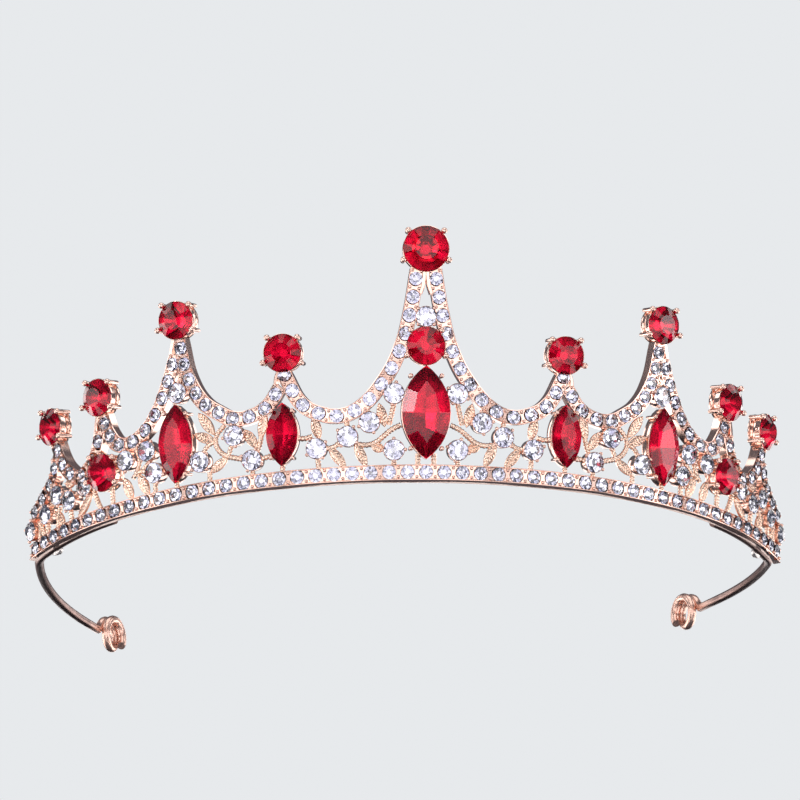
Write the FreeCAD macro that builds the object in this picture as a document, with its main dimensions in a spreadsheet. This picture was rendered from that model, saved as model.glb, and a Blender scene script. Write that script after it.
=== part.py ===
import FreeCAD, Part
import os
from math import asin, atan2, cos, pi, radians, sin, tan
from FreeCAD import Placement, Rotation, Vector

# A tiara: a curved, jewelled panel that leans forward over a flat-bottomed band, with two sprung
# wire arms behind it. Lengths are millimetres. +Z is up, -Y is the front, +X is the wearer's left.
# The origin is the middle of the band's underside. Places on the panel are given as a run along
# the band from its middle and a height up the lean from the band's bottom edge.

doc = FreeCAD.newDocument("tiara")
sheet = doc.addObject("Spreadsheet::Sheet", "dims")

drivingSizes = {
    # panel
    "leanAngle": 19.3,
    "frontRadius": 107,
    "sideRadius": 82,
    "endRadius": 59,
    "frontReach": 32,
    "sideReach": 62,
    "bandReach": 89,
    "bandHeight": 2.85,
    "bandDepth": 1.5,
    "railWidth": 2.8,
    "railDepth": 2.0,
    "railBevel": 0.3,
    "stemWidth": 0.95,
    "stemDepth": 0.9,
    "leafWidth": 1.8,
    # stones
    "chatonDia": 2.4,
    "bandPitch": 3.45,
    "railPitch": 3.3,
    "accentDia": 3.75,
    "roundDia": 7.1,
    "topDia": 8.5,
    "tallMarquiseWidth": 7.0,
    "tallMarquiseLength": 15.0,
    "innerMarquiseWidth": 6.0,
    "innerMarquiseLength": 12.0,
    "centreMarquiseWidth": 9.1,
    "centreMarquiseLength": 17.6,
    "glueGap": 0.06,
    # settings
    "cupFront": 0.35,
    "cupBack": 2.4,
    "cupWaist": 0.45,
    "rimHeight": 0.6,
    "clawRadius": 0.42,
    "clawTip": 0.6,
    "clawRise": 0.4,
    "bezelWall": 0.4,
    "bezelFront": 0.5,
    "accentClaw": 0.28,
    # wire arms
    "wireDia": 1.8,
    "wireRootStart": 64,
    "wireRootEnd": 86,
    "wireGap": 0.3,
    "wireBend": 14,
    "wireBendTurn": 27,
    "leftSweep": 85,
    "leftSweepTurn": 20,
    "leftStraight": 9.0,
    "leftRise": 6.6,
    "rightSweep": 90,
    "rightSweepTurn": 26,
    "rightStraight": 6.8,
    "rightRise": 3.15,
    "loopRadius": 3.0,
    "solderLength": 2.6,
    "solderDia": 1.5,
    "wireRelief": 0.4,
    "lugWidth": 2.2,
    "lugDepth": 0.7,
}
for row, (alias, value) in enumerate(drivingSizes.items(), start=1):
    sheet.set(f"A{row}", alias)
    sheet.set(f"B{row}", str(value))
    sheet.setAlias(f"B{row}", alias)
doc.recompute()


def size(alias):
    return float(getattr(sheet, alias))


# The curve of the panel -----------------------------------------------------------------------

lean = Placement(Vector(0, size("bandDepth") / -2, 0), Rotation(Vector(1, 0, 0), size("leanAngle")))
slope = tan(radians(size("leanAngle")))
wireBack = size("bandDepth") + size("wireDia") / 2 + size("glueGap")
wireLevel = size("wireDia") / 2 + size("glueGap")


def bandArcs():
    """Centre, radius, first turn and last turn of each arc of the band's front face, from the middle."""
    reaches = [0, size("frontReach"), size("sideReach"), size("bandReach")]
    radii = [size("frontRadius"), size("sideRadius"), size("endRadius")]
    centre = Vector(0, radii[0], 0)
    turn = 0
    arcs = []
    for index, radius in enumerate(radii):
        nextTurn = turn + (reaches[index + 1] - reaches[index]) / radius
        arcs.append((centre, radius, turn, nextTurn, reaches[index]))
        if index + 1 < len(radii):
            centre = centre + Vector(sin(nextTurn), -cos(nextTurn), 0) * (radius - radii[index + 1])
        turn = nextTurn
    return arcs


def plan(run):
    """Place and turn of the panel's front face, seen down the lean, at a run along the band."""
    side = -1 if run < 0 else 1
    for centre, radius, turn, nextTurn, reach in bandArcs():
        if abs(run) >= reach:
            here = turn + (abs(run) - reach) / radius
            spot = Vector(centre.x + radius * sin(here), centre.y - radius * cos(here), 0)
    return Vector(side * spot.x, spot.y, 0), side * here


def seat(run, height, out=0.0):
    """Placement on the panel: local x along the band, y up the lean, z outwards."""
    spot, turn = plan(run)
    outwards = Vector(sin(turn), -cos(turn), 0)
    along = Vector(cos(turn), sin(turn), 0)
    base = spot + outwards * out + Vector(0, 0, height - slope * spot.y)
    return lean.multiply(Placement(base, Rotation(along, Vector(0, 0, 1), outwards, "ZXY")))


# Helpers --------------------------------------------------------------------------------------


def primitive(kind, name, place=None, **expressions):
    item = doc.addObject("Part::" + kind, name)
    for prop, expression in expressions.items():
        item.setExpression(prop, expression)
    if place is not None:
        item.Placement = place
    return item


def fuse(name, pieces):
    item = doc.addObject("Part::MultiFuse", name)
    item.Shapes = pieces
    return item


def cut(name, base, tool):
    item = doc.addObject("Part::Cut", name)
    item.Base = base
    item.Tool = tool
    return item


def common(name, pieces):
    item = doc.addObject("Part::MultiCommon", name)
    item.Shapes = pieces
    return item


def solidFeature(name, shape, place=None):
    item = doc.addObject("Part::Feature", name)
    item.Shape = shape
    if place is not None:
        item.Placement = place
    return item


def shifted(x=0.0, y=0.0, z=0.0):
    return Placement(Vector(x, y, z), Rotation())


nodes = {}


def node(label, item, place=None):
    item.Label = label
    if place is not None:
        item.Placement = place
    nodes[label] = item
    return item


def mirrored(label):
    """The same piece on the other side of the tiara."""
    item = doc.addObject("Part::Mirroring", label.replace("left", "right"))
    item.Source = nodes[label]
    item.Base = Vector(0, 0, 0)
    item.Normal = Vector(1, 0, 0)
    return node(label.replace("left", "right"), item)


# Ribbons: rails, stems and leaves that follow the panel ---------------------------------------


def smooth(points):
    curve = Part.BSplineCurve()
    curve.interpolate([Vector(run, height, 0) for run, height in points])
    return curve


def ribbon(points, profile, step, widthAt=None, out=0.0):
    """A solid of one section carried along points on the panel, square to its face."""
    curve = smooth(points)
    count = max(4, round(curve.length() / step) + 1)
    spots = curve.discretize(Number=count)
    seats = [seat(spot.x, spot.y, out) for spot in spots]
    wires = []
    for index, here in enumerate(seats):
        before = seats[max(index - 1, 0)].Base
        after = seats[min(index + 1, count - 1)].Base
        ahead = here.inverse().multVec(here.Base + after - before)
        angle = atan2(ahead.y, ahead.x)
        scale = widthAt(index / (count - 1)) if widthAt else 1.0
        section = []
        for across, depth in profile:
            wide = across * scale
            section.append(here.multVec(Vector(-sin(angle) * wide, cos(angle) * wide, depth)))
        wires.append(Part.makePolygon(section + section[:1]))
    return Part.makeLoft(wires, True, True)


def barProfile(width, depth, bevel):
    half = width / 2
    return [
        (-half, -depth),
        (half, -depth),
        (half, -bevel),
        (half - bevel, 0),
        (bevel - half, 0),
        (-half, -bevel),
    ]


def evenSpots(points, pitch):
    """Stone places spread evenly along a path, half a pitch in from its ends."""
    curve = smooth(points)
    count = max(1, round(curve.length() / pitch))
    return [(spot.x, spot.y) for spot in curve.discretize(Number=2 * count + 1)[1::2]]


def seatCones(spots):
    """Cone-shaped seats for the small stones, sunk from the front face."""
    mouth = size("chatonDia") / 2 + 2 * size("glueGap")
    depth = 0.44 * size("chatonDia")
    cones = []
    for run, height in spots:
        here = seat(run, height, size("glueGap"))
        inwards = here.Rotation.multVec(Vector(0, 0, -1))
        cones.append(Part.makeCone(mouth, mouth / 6, depth, here.Base, inwards))
    return Part.makeCompound(cones)


# Stones ---------------------------------------------------------------------------------------


def roundStone(name, diameter, sides):
    """A faceted round stone on its girdle: flat table, sloping crown and pointed back."""
    levels = [
        ("table", 0.29, 0.18),
        ("top", 0.5, 0.0),
        ("girdle", 0.5, -0.02),
        ("point", 0.06, -0.4),
    ]
    rings = []
    for level, radius, rise in levels:
        ring = primitive("RegularPolygon", name + "_" + level, Circumradius=f"{diameter} * {radius}")
        ring.setExpression("Placement.Base.z", f"{diameter} * {rise}")
        ring.Polygon = sides
        rings.append(ring)
    stone = doc.addObject("Part::Loft", name)
    stone.Sections = rings
    stone.Solid = True
    stone.Ruled = True
    return stone


def marquiseOutline(width, length, rise, perSide=5):
    """Points round a pointed oval made of two equal arcs."""
    radius = (width**2 + length**2) / (4 * width)
    reach = asin(length / 2 / radius)
    right = []
    for k in range(perSide + 1):
        angle = -reach + 2 * reach * k / perSide
        right.append(Vector(radius * cos(angle) - radius + width / 2, radius * sin(angle), rise))
    left = [Vector(-spot.x, -spot.y, rise) for spot in right[1:-1]]
    return right + left


def marquiseStone(name, width, length):
    levels = [
        ("table", 0.5, 0.6, 0.19),
        ("top", 1.0, 1.0, 0.01),
        ("girdle", 1.0, 1.0, -0.01),
        ("keel", 0.08, 0.3, -0.24),
    ]
    rings = []
    for level, across, along, rise in levels:
        ring = doc.addObject("Part::Polygon", name + "_" + level)
        ring.Nodes = marquiseOutline(width * across, length * along, width * rise)
        ring.Close = True
        rings.append(ring)
    stone = doc.addObject("Part::Loft", name)
    stone.Sections = rings
    stone.Solid = True
    stone.Ruled = True
    return stone


def stoneGroup(label, master, places):
    copies = []
    for place in places:
        copy = master.Shape.copy()
        copy.Placement = place
        copies.append(copy)
    return node(label, solidFeature(label, Part.makeCompound(copies)))


# Settings -------------------------------------------------------------------------------------

uprightClaws = (45, 135, 207, 333)


def claws(name, spots, rear, front):
    """Posts along the depth of a setting, each ending in a ball over the stone's edge."""
    pieces = []
    for index, (x, y) in enumerate(spots):
        post = primitive("Cylinder", f"{name}_post{index}", shifted(x, y, rear), Radius="dims.clawRadius")
        post.Height = front - rear
        tip = primitive("Sphere", f"{name}_tip{index}", shifted(x, y, front), Radius="dims.clawTip")
        pieces += [post, tip]
    return pieces


def roundCup(label, stone, place):
    """A spool-shaped cup, open behind, with a rim at each end and four claws."""
    rear = -size("cupBack")
    front = size("cupFront")
    depth = "dims.cupBack + dims.cupFront"
    name = label + "_spool"
    waist = primitive("Cylinder", name, shifted(z=rear), Radius=f"dims.{stone} / 2 - dims.cupWaist",
                      Height=depth)
    foot = primitive("Cylinder", name + "_foot", shifted(z=rear), Radius=f"dims.{stone} / 2 + 0.1",
                     Height="dims.rimHeight")
    rim = primitive("Cone", name + "_rim", shifted(z=front - 2 * size("rimHeight")),
                    Radius1=f"dims.{stone} / 2 - dims.cupWaist", Radius2=f"dims.{stone} / 2 + 0.3",
                    Height="2 * dims.rimHeight")
    reach = size(stone) / 2 + size("clawRadius") + 0.1
    spots = [(reach * cos(radians(a)), reach * sin(radians(a))) for a in uprightClaws]
    body = fuse(label + "_body", [waist, foot, rim] + claws(label, spots, rear, front + size("clawRise")))
    bore = primitive("Cone", label + "_bore", shifted(z=rear), Radius1=f"dims.{stone} / 8",
                     Radius2=f"dims.{stone} / 2 + dims.glueGap", Height=depth)
    return node(label, cut(label, body, bore), place)


def lens(name, width, length, height, rise, margin):
    """A pointed-oval prism: the space that two crossing cylinders share."""
    radius = f"((({width}) ^ 2 + ({length}) ^ 2) / (4 * ({width})) + {margin})"
    sides = []
    for side in (-1, 1):
        barrel = primitive("Cylinder", f"{name}_{'west' if side < 0 else 'east'}", shifted(z=rise),
                           Radius=radius, Height=height)
        barrel.setExpression("Placement.Base.x", f"{side} * ({radius} - {margin} - ({width}) / 2)")
        sides.append(barrel)
    return common(name, sides)


def marquiseCup(label, stone, place, clawSpots):
    width = f"dims.{stone}Width"
    length = f"dims.{stone}Length"
    rear = -size("railDepth")
    outer = lens(label + "_outer", width, length, "dims.railDepth + dims.bezelFront", rear,
                 "dims.bezelWall + dims.glueGap")
    inner = lens(label + "_inner", width, length, "dims.railDepth + dims.bezelFront + 1", rear - 0.5,
                 "dims.glueGap")
    spots = [(x * side, y) for x, y in clawSpots for side in (-1, 1)]
    posts = claws(label, spots, rear, size("bezelFront") + size("clawTip") / 2)
    body = fuse(label + "_body", [outer] + posts)
    return node(label, cut(label, body, inner), place)


# Base band ------------------------------------------------------------------------------------


def bandSector(name, centre, radius, turn, nextTurn, side):
    """One arc of the band: an outer pie of a cylinder less an inner one."""
    below, pieHeight = 20, 30
    sweep = nextTurn - turn
    first = -90 + turn * 180 / pi if side > 0 else -90 - nextTurn * 180 / pi
    pies = []
    for part, inset in (("outer", 0), ("inner", size("bandDepth"))):
        place = Placement(Vector(side * centre.x, centre.y, -below), Rotation(Vector(0, 0, 1), first))
        pie = primitive("Cylinder", f"{name}_{part}", place)
        pie.Radius = radius - inset
        pie.Angle = sweep * 180 / pi
        pie.Height = pieHeight
        pies.append(pie)
    return cut(name, pies[0], pies[1])


def baseBand():
    sectors = []
    for index, (centre, radius, turn, nextTurn, reach) in enumerate(bandArcs()):
        if index == 0:
            sectors.append(bandSector("band_front", centre, radius, -nextTurn, nextTurn, 1))
        else:
            for side in (-1, 1):
                hand = "left" if side > 0 else "right"
                sectors.append(bandSector(f"band_{hand}{index}", centre, radius, turn, nextTurn, side))
    hoop = fuse("band_hoop", sectors)
    hoop.Placement = lean
    slab = primitive("Box", "band_slab", shifted(-100, -10, 0), Length="200", Width="100")
    slab.setExpression("Height", "dims.bandHeight * cos(dims.leanAngle * 1 deg)")
    strip = common("band_strip", [hoop, slab])
    lugs = []
    for run in (-46, 0, 46):
        back = seat(run, 0.2, -size("bandDepth") - size("lugDepth"))
        place = back.multiply(shifted(x=-size("lugWidth") / 2))
        lugs.append(primitive("Box", f"band_lug{run + 46}", place, Length="dims.lugWidth", Width="0.9",
                              Height="dims.lugDepth + 0.1"))
    blank = fuse("band_blank", [strip] + lugs)
    seats = solidFeature("band_seats", seatCones(bandSpots))
    seated = cut("band_seated", blank, seats)
    return node("base_band", cut("base_band", seated, fuse("wire_reliefs", wireReliefs())))


def wireReliefs():
    """Steps in the back of the band's ends, so that the wires can spring outwards."""
    first = size("wireRootEnd") + 0.1
    length = size("bandReach") + 1 - first
    steps = []
    for side in (-1, 1):
        back = seat(side * (first + length / 2), -2, -size("bandDepth") - 1)
        steps.append(primitive("Box", f"wire_relief{side + 1}", back.multiply(shifted(x=-length / 2)),
                               Width="6", Height="1 + dims.wireRelief"))
        steps[-1].Length = length
    return steps


bandCount = int((size("bandReach") - size("chatonDia") / 2) / size("bandPitch"))
bandMiddle = size("bandHeight") / 2
bandSpots = [(k * size("bandPitch"), bandMiddle) for k in range(-bandCount, bandCount + 1)]

# Rails ----------------------------------------------------------------------------------------
# Each rail hangs like a swag between two peaks. Points are (run, height) along its middle.

railPaths = {
    "centre_rail_left": [(1.75, 38.9), (3.1, 31.0), (4.9, 24.4), (8.1, 18.4), (12.7, 13.6), (16.0, 12.4),
                         (19.5, 12.9), (23.0, 14.8), (26.7, 20.9)],
    "inner_rail_left": [(27.5, 18.8), (30.1, 15.3), (33.3, 13.8), (36.7, 13.9), (39.7, 15.5), (42.6, 17.8),
                        (45.6, 22.7), (47.8, 30.6)],
    "outer_rail_left": [(48.6, 27.9), (50.2, 23.0), (53.1, 17.2), (55.6, 14.7), (58.5, 13.5), (61.2, 13.8),
                        (63.3, 16.0), (65.4, 20.4)],
    "side_rail_left": [(66.1, 17.6), (67.4, 13.4), (69.7, 11.2), (72.0, 10.6), (74.3, 12.1), (76.6, 14.6),
                       (79.2, 19.4)],
}
endRailPath = [(79.0, 16.2), (80.0, 13.0), (82.7, 10.9), (85.2, 9.4), (88.4, 8.2)]


def rails():
    spots = []
    for label, path in railPaths.items():
        profile = barProfile(size("railWidth"), size("railDepth"), size("railBevel"))
        bars = [ribbon(path, profile, size("railPitch") / 2)]
        paths = [path]
        if label == "side_rail_left":
            bars.append(ribbon(endRailPath, profile, size("railPitch") / 2))
            paths.append(endRailPath)
        here = [spot for one in paths for spot in evenSpots(one, size("railPitch"))]
        seats = seatCones(here)
        node(label, solidFeature(label, Part.makeCompound([bar.cut(seats) for bar in bars])))
        mirrored(label)
        spots += here
    return spots


# Scrollwork between the rails and the band ----------------------------------------------------
# Stems are paths; leaves run from base to tip.

scrolls = {
    "inner_vine_left": (
        [
            [(1.5, 4.9), (1.5, 2.5)],
            [(6.0, 14.4), (6.4, 12.5), (6.9, 10.3)],
            [(6.0, 3.8), (6.0, 2.5)],
            [(12.9, 6.9), (11.0, 6.7), (9.3, 7.2), (8.0, 8.2), (6.5, 9.4), (4.7, 10.3)],
            [(10.7, 12.6), (11.4, 13.6)],
            [(14.7, 10.2), (15.0, 11.6)],
            [(16.2, 7.4), (17.3, 6.6), (18.7, 6.4)],
            [(21.4, 8.9), (22.8, 8.6), (24.3, 8.8)],
            [(20.3, 4.6), (20.1, 2.5)],
            [(27.0, 4.0), (27.0, 2.5)],
        ],
        [
            [(7.7, 10.0), (8.8, 14.4)],
            [(10.3, 6.7), (7.8, 5.6)],
            [(13.3, 7.2), (11.1, 2.6)],
            [(18.2, 6.6), (15.0, 2.6)],
            [(21.2, 12.6), (20.0, 8.2)],
        ],
    ),
    "middle_vine_left": (
        [
            [(31.1, 10.4), (31.4, 8.6), (31.9, 7.0)],
            [(29.0, 6.0), (31.0, 5.6)],
            [(32.8, 3.7), (32.8, 2.5)],
            [(38.4, 12.9), (39.9, 11.3), (40.2, 10.0), (39.5, 8.3), (37.9, 7.0), (36.2, 6.4), (34.4, 5.9)],
            [(36.9, 9.0), (37.7, 6.9)],
            [(41.4, 4.5), (41.3, 2.5)],
            [(40.1, 10.2), (41.8, 9.5), (42.7, 8.3)],
            [(36.4, 12.3), (36.5, 12.9)],
            [(47.3, 25.2), (47.8, 21.8)],
            [(48.2, 3.7), (48.2, 2.5)],
        ],
        [
            [(30.4, 14.3), (31.3, 9.4)],
            [(31.9, 7.7), (34.5, 11.5)],
            [(40.4, 11.4), (43.7, 16.0)],
            [(40.3, 10.0), (44.5, 12.2)],
            [(37.7, 6.8), (41.2, 4.3)],
        ],
    ),
    "outer_vine_left": (
        [
            [(52.9, 4.6), (52.9, 2.5)],
            [(57.4, 12.3), (56.6, 9.8), (57.4, 7.3), (58.0, 6.6)],
            [(57.5, 7.3), (56.0, 7.5), (54.6, 6.9)],
            [(53.9, 9.4), (54.9, 8.4), (56.2, 7.5)],
            [(63.0, 6.0), (62.7, 2.5)],
            [(67.7, 6.6), (66.8, 4.6), (65.7, 2.5)],
            [(72.0, 9.5), (71.7, 8.0), (73.0, 7.2)],
            [(74.4, 5.0), (73.9, 2.5)],
            [(77.9, 6.6), (78.5, 2.5)],
            [(80.6, 12.0), (80.4, 9.4), (80.7, 7.6)],
            [(82.0, 4.6), (82.0, 2.5)],
            [(84.3, 9.4), (84.6, 6.0), (85.4, 2.5)],
        ],
        [
            [(56.7, 7.1), (54.3, 2.6)],
            [(60.0, 7.1), (58.1, 2.6)],
            [(68.4, 6.4), (71.8, 2.6)],
            [(76.0, 10.6), (73.2, 9.8)],
            [(79.3, 6.2), (76.3, 2.6)],
            [(85.6, 6.4), (83.4, 2.6)],
        ],
    ),
}


def leafWidth(along):
    return 0.22 + 0.78 * sin(pi * along) ** 0.7


def sunk(profile, drop):
    return [(across, depth - drop) for across, depth in profile]


def vines():
    stem = sunk(barProfile(size("stemWidth"), size("stemDepth"), 0.25), 0.25)
    leaf = sunk(barProfile(size("leafWidth"), 0.8, 0.35), 0.125)
    for label, (stems, leaves) in scrolls.items():
        solids = [ribbon(path, stem, 1.2) for path in stems]
        solids += [ribbon(path, leaf, 0.7, leafWidth) for path in leaves]
        merged = solids[0].multiFuse(solids[1:])
        node(label, solidFeature(label, merged))
        mirrored(label)


# Jewels ---------------------------------------------------------------------------------------
# Name, stone size, run, height.

roundJewels = [
    ("top", "topDia", 0.0, 43.4),
    ("centre", "roundDia", 0.0, 25.1),
    ("inner_left", "roundDia", 27.0, 25.0),
    ("tall_left", "roundDia", 48.3, 34.5),
    ("outer_left", "roundDia", 66.3, 24.2),
    ("low_left", "roundDia", 65.0, 9.4),
    ("end_left", "roundDia", 80.3, 23.0),
]
marquiseJewels = [
    ("centre_marquise", "centreMarquise", 0.0, 12.6, [(2.9, 6.8), (2.9, -6.8)]),
    ("inner_marquise_left", "innerMarquise", 27.0, 9.7, [(2.0, 4.4), (2.0, -4.4)]),
    ("tall_marquise_left", "tallMarquise", 48.2, 11.0, [(2.3, 5.7), (2.3, -5.7)]),
]
accentSpots = [
    (6.0, 16.2), (10.6, 10.9), (14.7, 8.4), (6.0, 5.6), (20.5, 6.5),
    (32.8, 5.5), (36.4, 10.6), (43.2, 6.7), (48.0, 20.6), (52.9, 6.5), (54.6, 11.0),
    (59.4, 10.3), (69.9, 8.1), (74.2, 6.7), (78.1, 8.9), (82.0, 6.5), (88.0, 5.3),
]
accentTop = (0.0, 30.6)


def pieceLabel(name, piece):
    """inner_left and cup give inner_cup_left."""
    stem, hand, rest = name.partition("_left")
    return f"{stem}_{piece}{hand}"


def jewels():
    for name, stone, run, height in roundJewels:
        roundCup(pieceLabel(name, "cup"), stone, seat(run, height))
        label = pieceLabel(name, "stone")
        node(label, roundStone(label, f"dims.{stone}", 12), seat(run, height, size("cupFront") + 0.1))
    for name, stone, run, height, clawSpots in marquiseJewels:
        marquiseCup(pieceLabel(name, "cup"), stone, seat(run, height), clawSpots)
        label = pieceLabel(name, "stone")
        gem = marquiseStone(label, size(stone + "Width"), size(stone + "Length"))
        node(label, gem, seat(run, height, size("bezelFront") - 0.1))
    for label in [label for label in nodes if "_cup_left" in label or "_stone_left" in label]:
        mirrored(label)


def accents():
    """The clear stones in the scrollwork, each in a small four-claw ring."""
    ring = primitive("Cylinder", "accent_ring", shifted(z=-size("railDepth")),
                     Radius="dims.accentDia / 2 + 0.2", Height="dims.railDepth + 0.2")
    bore = primitive("Cone", "accent_bore", shifted(z=-size("railDepth")), Radius1="dims.accentDia / 10",
                     Radius2="dims.accentDia / 2 + dims.glueGap", Height="dims.railDepth + 0.35")
    reach = size("accentDia") / 2 + size("accentClaw") + size("glueGap")
    beads = []
    for k in range(4):
        angle = radians(45 + 90 * k)
        place = shifted(reach * cos(angle), reach * sin(angle), 0.15)
        beads.append(primitive("Sphere", f"accent_claw{k}", place, Radius="dims.accentClaw"))
    master = fuse("accent_cup_master", [cut("accent_bored", ring, bore)] + beads)
    gem = roundStone("accent_stone_master", "dims.accentDia", 8)
    doc.recompute()
    spots = [accentTop] + [(side * run, height) for run, height in accentSpots for side in (1, -1)]
    stoneGroup("accent_cups", master, [seat(run, height) for run, height in spots])
    stoneGroup("accent_stones", gem, [seat(run, height, 0.35) for run, height in spots])


def smallStones(railSpots):
    gem = roundStone("chaton_master", "dims.chatonDia", 8)
    doc.recompute()
    lift = 2 * size("glueGap")
    stoneGroup("band_stones", gem, [seat(run, height, lift) for run, height in bandSpots])
    stoneGroup("rail_stones_left", gem, [seat(run, height, lift) for run, height in railSpots])
    mirrored("rail_stones_left")


# Wire arms ------------------------------------------------------------------------------------


def wireSeat(run):
    """Middle of the wire behind the band, at its own level above the table."""
    here = seat(run, 0, -wireBack)
    return Vector(here.Base.x, here.Base.y, wireLevel)


def wireRoot():
    """The soldered length of wire, along the band's back near its end."""
    steps = 9
    first = size("wireRootStart")
    last = size("wireRootEnd")
    spots = [wireSeat(first + (last - first) * k / steps) for k in range(steps + 1)]
    wires = []
    for index, spot in enumerate(spots):
        ahead = spots[min(index + 1, steps)] - spots[max(index - 1, 0)]
        ring = Part.Wire([Part.Circle(spot, ahead, size("wireDia") / 2).toShape()])
        wires.append(ring)
    node("wire_root_left", solidFeature("wire_root_left", Part.makeLoft(wires, True, True)))
    mirrored("wire_root_left")


def wireTurn(name, start, heading, radius, turn):
    """One bend of round wire to the left; returns the bend, its end and its new heading."""
    middle = start + Vector(-sin(radians(heading)), cos(radians(heading)), 0) * radius
    place = Placement(middle, Rotation(Vector(0, 0, 1), heading - 90))
    bend = primitive("Torus", name, place, Radius2="dims.wireDia / 2")
    bend.Radius1 = radius
    bend.Angle3 = turn
    headingAfter = heading + turn
    end = middle + Vector(sin(radians(headingAfter)), -cos(radians(headingAfter)), 0) * radius
    return bend, end, headingAfter


def wireArm(hand):
    """The free wire: two bends and a straight run, ending in an upright eye."""
    last = size("wireRootEnd")
    foot = wireSeat(last)
    heading = wireSeat(last) - wireSeat(last - 1)
    angle = atan2(heading.y, heading.x) * 180 / pi
    start = foot + heading * (size("wireGap") / heading.Length)
    straight = size(hand + "Straight")
    bends = [(size("wireBend"), size("wireBendTurn")), (size(hand + "Sweep"), size(hand + "SweepTurn"))]
    bend, spot, angle = wireTurn(hand + "_bend", start, angle, *bends[0])
    sweep, spot, angle = wireTurn(hand + "_sweep", spot, angle, *bends[1])
    ahead = Vector(cos(radians(angle)), sin(radians(angle)), 0)
    run = primitive("Cylinder", hand + "_run", Placement(spot, Rotation(Vector(0, 0, 1), ahead)),
                    Radius="dims.wireDia / 2", Height=f"dims.{hand}Straight")
    middle = spot + ahead * (straight + size("loopRadius"))
    across = Vector(-ahead.y, ahead.x, 0)
    eye = primitive("Torus", hand + "_eye", Placement(middle, Rotation(Vector(0, 0, 1), across)),
                    Radius1="dims.loopRadius", Radius2="dims.wireDia / 2")
    arm = fuse("wire_arm_" + hand, [fuse(hand + "_end", [eye, run]), fuse(hand + "_bends", [bend, sweep])])
    tilt = Rotation(Vector(1, 0, 0), size(hand + "Rise"))
    arm.Placement = Placement(start - tilt.multVec(start), tilt)
    print(hand, "arm pivot", start, "eye", arm.Placement.multVec(middle))
    if hand == "left":
        return node("wire_arm_left", arm)
    flipped = doc.addObject("Part::Mirroring", "wire_arm_right_flipped")
    flipped.Source = arm
    flipped.Normal = Vector(1, 0, 0)
    return node("wire_arm_right", flipped)


def solderBead():
    """A bead of solder that holds the wire to the band's end."""
    run = size("wireRootEnd") - 5
    here = seat(run, 0, -wireBack - size("wireDia") / 2)
    here.Base.z = wireLevel
    bead = primitive("Ellipsoid", "solder_bead_left", here, Radius1="dims.solderDia / 2",
                     Radius2="dims.solderLength / 2", Radius3="dims.solderDia / 2")
    node("solder_bead_left", bead)
    mirrored("solder_bead_left")


# Assembly -------------------------------------------------------------------------------------

baseBand()
railSpots = rails()
vines()
jewels()
accents()
smallStones(railSpots)
wireRoot()
wireArm("left")
wireArm("right")
solderBead()
doc.recompute()

for item in doc.Objects:
    if "Invalid" in item.State or "Error" in item.State:
        raise RuntimeError(f"{item.Label} did not build: {item.State}")

os.makedirs("parts", exist_ok=True)
for label, item in nodes.items():
    shape = item.Shape
    if shape.isNull() or not shape.isValid() or not shape.Solids:
        raise RuntimeError(f"{label} has no valid solid")
    shape.exportStep(f"parts/{label}.step")
    box = shape.BoundBox
    print(f"{label:28s} solids {len(shape.Solids):3d} volume {shape.Volume:8.2f}",
          f"x {box.XMin:6.1f} {box.XMax:6.1f} y {box.YMin:6.1f} {box.YMax:6.1f}",
          f"z {box.ZMin:6.2f} {box.ZMax:6.1f}")
print("nodes", len(nodes))
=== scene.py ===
import bpy
from math import asin, atan2, cos, degrees, hypot, pi, radians, sin, sqrt, tan
from mathutils import Matrix, Vector


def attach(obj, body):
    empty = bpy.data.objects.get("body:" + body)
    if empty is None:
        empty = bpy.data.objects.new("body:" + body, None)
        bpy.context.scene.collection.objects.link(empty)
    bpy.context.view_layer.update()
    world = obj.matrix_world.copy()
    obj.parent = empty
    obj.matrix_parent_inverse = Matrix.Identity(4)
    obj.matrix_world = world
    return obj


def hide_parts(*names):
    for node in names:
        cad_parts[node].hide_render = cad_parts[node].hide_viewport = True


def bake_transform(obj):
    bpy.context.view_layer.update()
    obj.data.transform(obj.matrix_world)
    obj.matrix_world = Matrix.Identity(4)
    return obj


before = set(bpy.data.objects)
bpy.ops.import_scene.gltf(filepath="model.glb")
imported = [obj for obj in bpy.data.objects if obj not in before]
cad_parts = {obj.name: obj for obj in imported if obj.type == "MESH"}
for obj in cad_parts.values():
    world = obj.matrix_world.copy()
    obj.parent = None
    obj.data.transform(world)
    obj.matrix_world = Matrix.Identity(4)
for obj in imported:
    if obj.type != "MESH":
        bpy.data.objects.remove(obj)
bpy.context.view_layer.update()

# A jewelled tiara. Sizes are millimetres until a piece is set in its place, which makes them metres.
# Parts of the panel are made flat first: x is the run along the band, y the height up the lean and
# z how far out of the panel's face. Then they are bent round the head, as the real casting is.

mm = 0.001

panel = {
    "lean": 19.3,
    "radii": (107, 82, 59),
    "reaches": (0, 32, 62),
    "end": 89,
    "depth": 1.5,
}
slope = tan(radians(panel["lean"]))
leaned = Matrix.Translation((0, -panel["depth"] / 2, 0)) @ Matrix.Rotation(radians(panel["lean"]), 4, "X")


def plan(run):
    # place and turn of the band's face at a run from its middle, seen down the lean
    side = -1 if run < 0 else 1
    reaches = panel["reaches"]
    radii = panel["radii"]
    arc = max(k for k in range(len(radii)) if abs(run) >= reaches[k])
    centre = Vector((0, radii[0], 0))
    turn = 0
    for k in range(arc):
        turn += (reaches[k + 1] - reaches[k]) / radii[k]
        centre += Vector((sin(turn), -cos(turn), 0)) * (radii[k] - radii[k + 1])
    turn += (abs(run) - reaches[arc]) / radii[arc]
    spot = centre + Vector((sin(turn), -cos(turn), 0)) * radii[arc]
    return Vector((side * spot.x, spot.y, 0)), side * turn


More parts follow.
